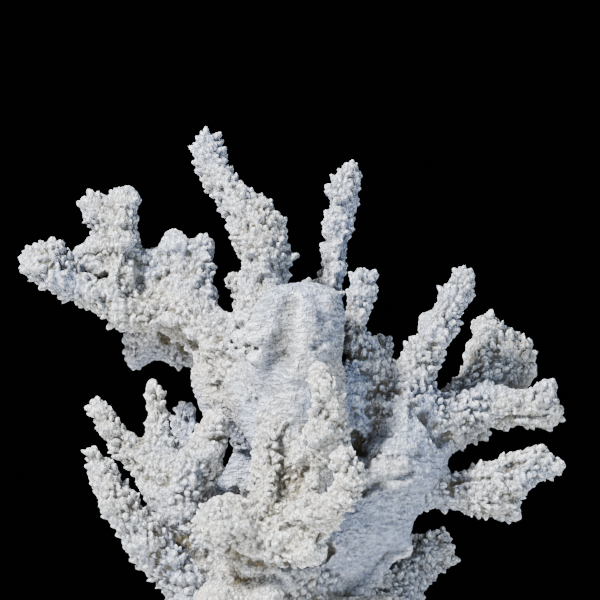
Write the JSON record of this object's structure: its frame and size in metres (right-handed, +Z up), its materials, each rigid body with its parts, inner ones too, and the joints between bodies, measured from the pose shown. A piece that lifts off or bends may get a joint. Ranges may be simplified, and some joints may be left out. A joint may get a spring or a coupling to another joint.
{
  "type": "branching coral",
  "caption": "Dry white branching coral colony with warty fingers, fans and a smooth central lobe, rising from a thick trunk that is cut off flat to stand on.",
  "frame": {"origin": "centre of the trunk on the flat cut at the foot", "axes": "+Z up, away from the flat cut; -Y towards the viewer of the picture; +X to the viewer's right"},
  "size_m": [0.2158, 0.1621, 0.2232],
  "materials": {
    "bone_white": "rough, dry, finely pitted coral skeleton",
    "grey_white": "rough, dry, finely pitted coral skeleton",
    "cream_white": "rough, dry, finely pitted coral skeleton"
  },
  "bodies": {
    "root": {"holdfast": "grey_white", "central_lobe": "grey_white", "left_tall_branch": "bone_white", "right_tall_branch": "bone_white", "left_arm": "bone_white", "left_tower": "bone_white", "left_knobs": "grey_white", "left_flap": "grey_white", "right_limb": "grey_white", "right_inner_branch": "bone_white", "right_diagonal_branch": "bone_white", "right_fan": "grey_white", "right_arm": "bone_white", "right_lower_fan": "bone_white", "right_back_branch": "grey_white", "left_hand": "bone_white", "outer_left_branch": "bone_white", "front_finger": "cream_white", "front_hook": "cream_white", "back_left_branch": "bone_white", "back_finger": "grey_white", "back_middle_branch": "bone_white", "back_right_branch": "bone_white", "back_spreading_branch": "bone_white"}
  },
  "joints": []
}
